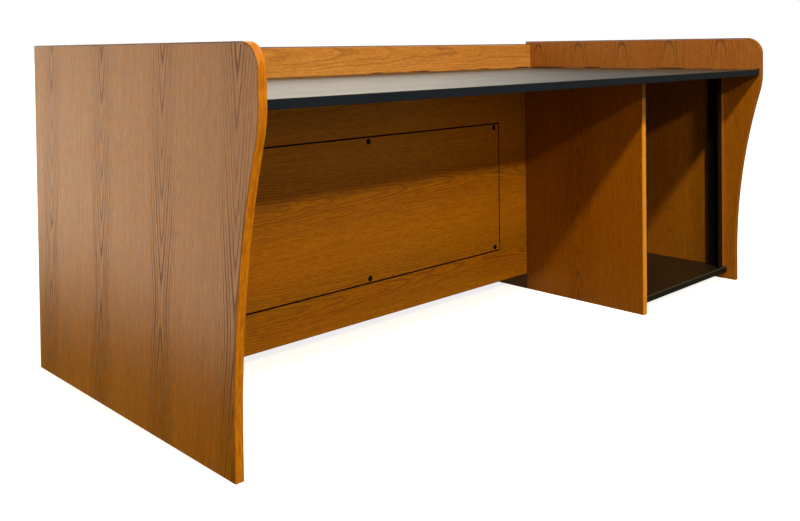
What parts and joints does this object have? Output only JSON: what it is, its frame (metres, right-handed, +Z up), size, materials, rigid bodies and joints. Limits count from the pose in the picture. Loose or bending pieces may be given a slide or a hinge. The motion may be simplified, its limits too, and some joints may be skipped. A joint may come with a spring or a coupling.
{
  "type": "presentation desk",
  "caption": "Wood-veneered presentation desk with shaped end panels, a black worktop, a rear upstand, a screwed access cover in the inner panel and a rack bay with rails on the right.",
  "frame": {"origin": "on the floor at the middle of the desk's box", "axes": "+X to the right across the desk as its user sees it, +Y from the user's side to the audience's side, +Z up"},
  "size_m": [2.003, 0.967, 0.813],
  "materials": {
    "oak_face": "satin-lacquered oak veneer",
    "oak_edge": "satin-lacquered solid oak edge band",
    "cleat_wood": "bare sawn wood",
    "black_laminate": "black satin laminate",
    "charcoal_band": "charcoal edge band",
    "black_steel": "black powder coat"
  },
  "bodies": {
    "case": {"left_end_panel": "oak_face", "left_front_edging": "oak_edge", "left_rear_edging": "oak_edge", "right_end_panel": "oak_face", "right_front_edging": "oak_edge", "right_rear_edging": "oak_edge", "rear_panel": "oak_face", "rear_panel_edging": "oak_edge", "divider": "oak_face", "divider_edging": "oak_edge", "inner_panel": "oak_face", "cover_cleat_top": "cleat_wood", "cover_cleat_bottom": "cleat_wood", "cover_cleat_left": "cleat_wood", "cover_cleat_right": "cleat_wood", "worktop": "black_laminate", "worktop_laminate": "black_laminate", "worktop_front_band": "charcoal_band", "worktop_cleat_left_front": "cleat_wood", "worktop_cleat_left_rear": "cleat_wood", "worktop_cleat_right": "cleat_wood", "worktop_block_left": "cleat_wood", "worktop_block_right": "cleat_wood", "inner_cleat_left": "cleat_wood", "inner_cleat_right": "cleat_wood", "rear_cleat_left": "cleat_wood", "rear_cleat_middle": "cleat_wood", "rear_cleat_right": "cleat_wood", "rack_shelf": "black_laminate", "rack_shelf_band": "charcoal_band", "shelf_cleat_left": "cleat_wood", "shelf_cleat_right": "cleat_wood", "rail_spacer_left": "oak_face", "rail_spacer_right": "oak_face", "rack_rail_left": "black_steel", "rack_rail_right": "black_steel", "rail_screw_left_1": "black_steel", "rail_screw_left_2": "black_steel", "rail_screw_left_3": "black_steel", "rail_screw_left_4": "black_steel", "rail_screw_right_1": "black_steel", "rail_screw_right_2": "black_steel", "rail_screw_right_3": "black_steel", "rail_screw_right_4": "black_steel"},
    "access_cover": {"access_cover": "oak_face", "cover_cup_washer_1": "black_steel", "cover_cup_washer_2": "black_steel", "cover_cup_washer_3": "black_steel", "cover_cup_washer_4": "black_steel", "cover_cup_washer_5": "black_steel", "cover_cup_washer_6": "black_steel", "cover_screw_1": "black_steel", "cover_screw_2": "black_steel", "cover_screw_3": "black_steel", "cover_screw_4": "black_steel", "cover_screw_5": "black_steel", "cover_screw_6": "black_steel"}
  },
  "joints": [
    {"name": "access_cover_slide", "type": "slide", "parent": "case", "child": "access_cover", "axis": [0, -1, 0], "range_m": [0, 0.3]}
  ]
}
